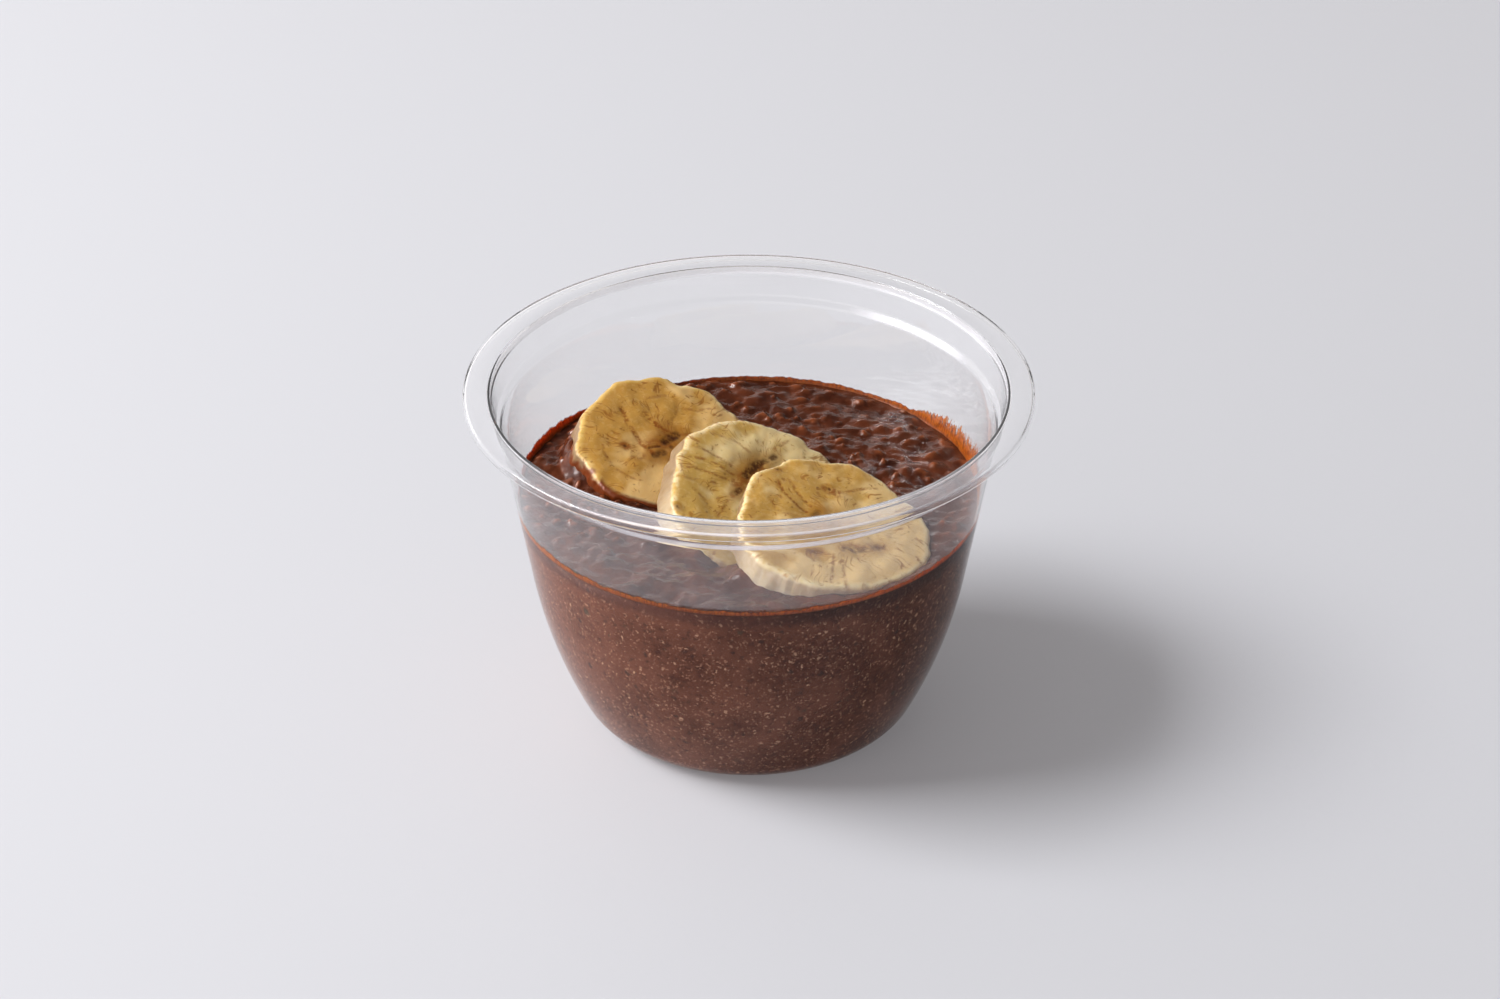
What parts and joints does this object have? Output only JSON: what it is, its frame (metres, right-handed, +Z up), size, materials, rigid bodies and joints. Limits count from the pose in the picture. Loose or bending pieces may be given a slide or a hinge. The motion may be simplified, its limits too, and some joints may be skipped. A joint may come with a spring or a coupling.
{
  "type": "chia pudding cup",
  "caption": "Dark chocolate chia pudding in a clear round flanged plastic cup, topped with overlapping round banana slices pressed into its surface.",
  "frame": {"origin": "centre of the cup's flat base, on the surface it stands on", "axes": "+Z up along the cup's axis, -Y towards the front of the pictured cup, +X to its right"},
  "size_m": [0.101, 0.101, 0.065],
  "materials": {
    "clear_plastic": "clear, smooth, thin moulded plastic",
    "chocolate_pudding": "moist, glossy and lumpy, fine pale specks",
    "banana_flesh": "moist satin flesh with brown streaks and dark seeds"
  },
  "bodies": {
    "root": {"cup": "clear_plastic", "pudding": "chocolate_pudding", "banana_slice_back": "banana_flesh", "banana_slice_middle": "banana_flesh", "banana_slice_front": "banana_flesh"}
  },
  "joints": []
}
